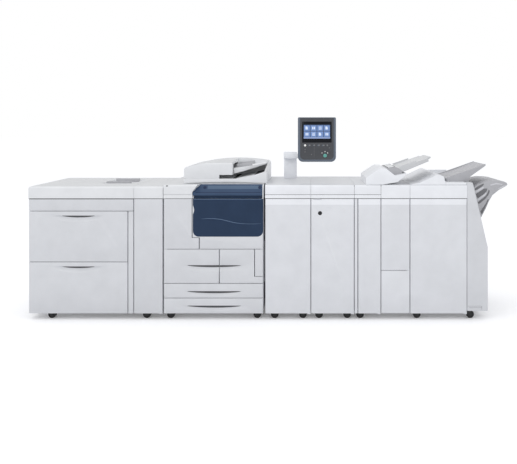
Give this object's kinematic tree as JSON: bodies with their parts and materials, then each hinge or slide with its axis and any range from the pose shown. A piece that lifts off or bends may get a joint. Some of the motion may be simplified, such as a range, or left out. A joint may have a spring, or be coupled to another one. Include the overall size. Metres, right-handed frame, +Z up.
{
  "type": "digital production printer",
  "caption": "Digital production printer: a sheet feeder, print engine with scanner and touch panel, and in-line finishing modules on casters.",
  "frame": {"origin": "centre of the bounding box on the floor", "axes": "+X along the row from the feeder to the stacker, the doors face -Y, +Z up"},
  "size_m": [3.479, 0.79, 1.461],
  "materials": {
    "white_panel": "fine moulded texture, satin",
    "pale_cover": "fine moulded texture, satin",
    "grey_plastic": "satin",
    "dark_plastic": "satin",
    "blue_paint": "semi-gloss",
    "light_blue_paint": "semi-gloss",
    "drum_coating": "smooth coated",
    "glass": "polished",
    "screen_glass": "gloss",
    "green_plastic": "gloss",
    "lock_metal": "turned",
    "caster_steel": "black",
    "caster_rubber": "moulded"
  },
  "bodies": {
    "machine": {"feeder_cabinet": "white_panel", "feeder_top_cover": "pale_cover", "engine_cabinet": "white_panel", "toner_cartridges": "dark_plastic", "fuser_unit": "dark_plastic", "scanner_housing": "pale_cover", "platen_glass": "glass", "ui_post": "white_panel", "decurler_cabinet": "white_panel", "punch_cabinet": "white_panel", "inserter_cabinet": "white_panel", "inserter_feed_head": "grey_plastic", "inserter_tray": "pale_cover", "folder_cabinet": "white_panel", "finisher_cabinet": "white_panel", "finisher_side_cover": "white_panel", "finisher_top_tray": "grey_plastic", "caster_forks": "caster_steel"},
    "feeder_upper_drawer": {"feeder_upper_drawer": "white_panel"},
    "feeder_lower_drawer": {"feeder_lower_drawer": "white_panel"},
    "transfer_door": {"transfer_door": "white_panel"},
    "bypass_guide_front": {"bypass_guide_front": "grey_plastic"},
    "bypass_guide_rear": {"bypass_guide_rear": "grey_plastic"},
    "engine_left_door": {"engine_left_door": "white_panel"},
    "engine_right_door": {"engine_right_door": "white_panel", "blue_panel": "blue_paint"},
    "toner_cover": {"toner_cover": "light_blue_paint"},
    "drum": {"photoreceptor_drum": "drum_coating"},
    "tandem_tray_left": {"tandem_tray_left": "white_panel"},
    "tandem_tray_right": {"tandem_tray_right": "white_panel"},
    "paper_tray_3": {"paper_tray_3": "white_panel"},
    "paper_tray_4": {"paper_tray_4": "white_panel"},
    "document_feeder": {"dadf_base": "pale_cover", "document_tray": "pale_cover"},
    "feed_cover": {"dadf_feed_cover": "pale_cover"},
    "document_guide_front": {"document_guide_front": "grey_plastic"},
    "document_guide_rear": {"document_guide_rear": "grey_plastic"},
    "panel_arm": {"ui_arm": "white_panel"},
    "control_panel": {"ui_panel": "dark_plastic", "ui_screen": "screen_glass"},
    "start_button": {"start_button": "green_plastic"},
    "decurler_door": {"decurler_door": "white_panel"},
    "punch_door": {"punch_door": "white_panel"},
    "punch_lock": {"punch_lock": "lock_metal"},
    "inserter_door": {"inserter_door": "white_panel"},
    "folder_door": {"folder_door": "white_panel"},
    "folder_tray": {"folder_tray": "white_panel"},
    "finisher_door": {"finisher_door": "white_panel"},
    "stacker_tray": {"stacker_tray": "grey_plastic"},
    "caster_1": {"caster_wheels_1": "caster_rubber"},
    "caster_2": {"caster_wheels_2": "caster_rubber"},
    "caster_3": {"caster_wheels_3": "caster_rubber"},
    "caster_4": {"caster_wheels_4": "caster_rubber"},
    "caster_5": {"caster_wheels_5": "caster_rubber"},
    "caster_6": {"caster_wheels_6": "caster_rubber"},
    "caster_7": {"caster_wheels_7": "caster_rubber"},
    "caster_8": {"caster_wheels_8": "caster_rubber"},
    "caster_9": {"caster_wheels_9": "caster_rubber"},
    "caster_10": {"caster_wheels_10": "caster_rubber"},
    "caster_11": {"caster_wheels_11": "caster_rubber"}
  },
  "joints": [
    {"name": "feeder_upper_slide", "type": "slide", "parent": "machine", "child": "feeder_upper_drawer", "axis": [0, -1, 0], "range_m": [0, 0.56]},
    {"name": "feeder_lower_slide", "type": "slide", "parent": "machine", "child": "feeder_lower_drawer", "axis": [0, -1, 0], "range_m": [0, 0.56]},
    {"name": "tandem_left_slide", "type": "slide", "parent": "machine", "child": "tandem_tray_left", "axis": [0, -1, 0], "range_m": [0, 0.52]},
    {"name": "tandem_right_slide", "type": "slide", "parent": "machine", "child": "tandem_tray_right", "axis": [0, -1, 0], "range_m": [0, 0.52]},
    {"name": "tray_3_slide", "type": "slide", "parent": "machine", "child": "paper_tray_3", "axis": [0, -1, 0], "range_m": [0, 0.52]},
    {"name": "tray_4_slide", "type": "slide", "parent": "machine", "child": "paper_tray_4", "axis": [0, -1, 0], "range_m": [0, 0.52]},
    {"name": "transfer_door_hinge", "type": "hinge", "parent": "machine", "child": "transfer_door", "pos_m": [-0.7825, -0.387, 0.4565], "axis": [0, 0, 1], "range_deg": [0, 90]},
    {"name": "engine_left_door_hinge", "type": "hinge", "parent": "machine", "child": "engine_left_door", "pos_m": [-0.7575, -0.387, 0.689], "axis": [0, 0, -1], "range_deg": [0, 90]},
    {"name": "engine_right_door_hinge", "type": "hinge", "parent": "machine", "child": "engine_right_door", "pos_m": [-0.0575, -0.38, 0.689], "axis": [0, 0, 1], "range_deg": [0, 90]},
    {"name": "toner_cover_hinge", "type": "hinge", "parent": "machine", "child": "toner_cover", "pos_m": [-0.3055, -0.3875, 0.899], "axis": [1, 0, 0], "range_deg": [0, 100]},
    {"name": "drum_spin", "type": "hinge", "parent": "machine", "child": "drum", "pos_m": [-0.32747, -0.268, 0.69], "axis": [0, 1, 0], "continuous": true},
    {"name": "document_feeder_hinge", "type": "hinge", "parent": "machine", "child": "document_feeder", "pos_m": [-0.3345, 0.275, 1.001], "axis": [-1, 0, 0], "range_deg": [0, 60]},
    {"name": "feed_cover_hinge", "type": "hinge", "parent": "document_feeder", "child": "feed_cover", "pos_m": [-0.6215, -0.155, 1.0233], "axis": [0, -1, 0], "range_deg": [0, 75]},
    {"name": "document_guide_front_slide", "type": "slide", "parent": "document_feeder", "child": "document_guide_front", "axis": [0, 1, 0], "range_m": [0, 0.055]},
    {"name": "document_guide_rear_slide", "type": "slide", "parent": "document_feeder", "child": "document_guide_rear", "axis": [0, 1, 0], "range_m": [-0.055, 0]},
    {"name": "bypass_guide_front_slide", "type": "slide", "parent": "machine", "child": "bypass_guide_front", "axis": [0, 1, 0], "range_m": [0, 0.09]},
    {"name": "bypass_guide_rear_slide", "type": "slide", "parent": "machine", "child": "bypass_guide_rear", "axis": [0, 1, 0], "range_m": [-0.09, 0]},
    {"name": "panel_swivel", "type": "hinge", "parent": "machine", "child": "panel_arm", "pos_m": [0.128, 0.208, 1.152], "axis": [0, 0, 1], "range_deg": [-40, 30]},
    {"name": "panel_tilt", "type": "hinge", "parent": "panel_arm", "child": "control_panel", "pos_m": [0.2835, 0.115, 1.175], "axis": [-1, 0, 0], "range_deg": [-5, 25]},
    {"name": "start_button_press", "type": "slide", "parent": "control_panel", "child": "start_button", "axis": [0, 1, 0], "range_m": [0, 0.0015], "stiffness_N_per_m": 400},
    {"name": "decurler_door_hinge", "type": "hinge", "parent": "machine", "child": "decurler_door", "pos_m": [0.2835, -0.387, 0.457], "axis": [0, 0, 1], "range_deg": [0, 90]},
    {"name": "punch_door_hinge", "type": "hinge", "parent": "machine", "child": "punch_door", "pos_m": [0.5965, -0.387, 0.457], "axis": [0, 0, 1], "range_deg": [0, 90]},
    {"name": "punch_lock_turn", "type": "hinge", "parent": "punch_door", "child": "punch_lock", "pos_m": [0.3595, -0.385, 0.766], "axis": [0, 1, 0], "range_deg": [0, 90]},
    {"name": "inserter_door_hinge", "type": "hinge", "parent": "machine", "child": "inserter_door", "pos_m": [0.7885, -0.387, 0.457], "axis": [0, 0, 1], "range_deg": [0, 90]},
    {"name": "folder_door_hinge", "type": "hinge", "parent": "machine", "child": "folder_door", "pos_m": [0.9975, -0.387, 0.6125], "axis": [0, 0, 1], "range_deg": [0, 90]},
    {"name": "folder_tray_slide", "type": "slide", "parent": "machine", "child": "folder_tray", "axis": [0, -1, 0], "range_m": [0, 0.45]},
    {"name": "finisher_door_hinge", "type": "hinge", "parent": "machine", "child": "finisher_door", "pos_m": [1.4095, -0.387, 0.457], "axis": [0, 0, 1], "range_deg": [0, 90]},
    {"name": "stacker_lift", "type": "slide", "parent": "machine", "child": "stacker_tray", "axis": [0, 0, 1], "range_m": [-0.34, 0]},
    {"name": "caster_1_roll", "type": "hinge", "parent": "machine", "child": "caster_1", "pos_m": [-1.58432, -0.05, 0.028], "axis": [0, 1, 0], "continuous": true},
    {"name": "caster_2_roll", "type": "hinge", "parent": "machine", "child": "caster_2", "pos_m": [-0.8964, -0.05, 0.028], "axis": [0, 1, 0], "continuous": true},
    {"name": "caster_3_roll", "type": "hinge", "parent": "machine", "child": "caster_3", "pos_m": [-0.72148, -0.05, 0.028], "axis": [0, 1, 0], "continuous": true},
    {"name": "caster_4_roll", "type": "hinge", "parent": "machine", "child": "caster_4", "pos_m": [-0.09452, -0.05, 0.028], "axis": [0, 1, 0], "continuous": true},
    {"name": "caster_5_roll", "type": "hinge", "parent": "machine", "child": "caster_5", "pos_m": [0.03148, -0.05, 0.028], "axis": [0, 1, 0], "continuous": true},
    {"name": "caster_6_roll", "type": "hinge", "parent": "machine", "child": "caster_6", "pos_m": [0.23641, -0.05, 0.028], "axis": [0, 1, 0], "continuous": true},
    {"name": "caster_7_roll", "type": "hinge", "parent": "machine", "child": "caster_7", "pos_m": [0.3536, -0.05, 0.028], "axis": [0, 1, 0], "continuous": true},
    {"name": "caster_8_roll", "type": "hinge", "parent": "machine", "child": "caster_8", "pos_m": [0.55736, -0.05, 0.028], "axis": [0, 1, 0], "continuous": true},
    {"name": "caster_9_roll", "type": "hinge", "parent": "machine", "child": "caster_9", "pos_m": [0.65047, -0.05, 0.028], "axis": [0, 1, 0], "continuous": true},
    {"name": "caster_10_roll", "type": "hinge", "parent": "machine", "child": "caster_10", "pos_m": [1.0623, -0.05, 0.028], "axis": [0, 1, 0], "continuous": true},
    {"name": "caster_11_roll", "type": "hinge", "parent": "machine", "child": "caster_11", "pos_m": [1.44954, -0.05, 0.028], "axis": [0, 1, 0], "continuous": true}
  ],
  "couplings": [
    {"joint": "document_guide_rear_slide", "follows": "document_guide_front_slide", "ratio": -1},
    {"joint": "bypass_guide_rear_slide", "follows": "bypass_guide_front_slide", "ratio": -1}
  ]
}
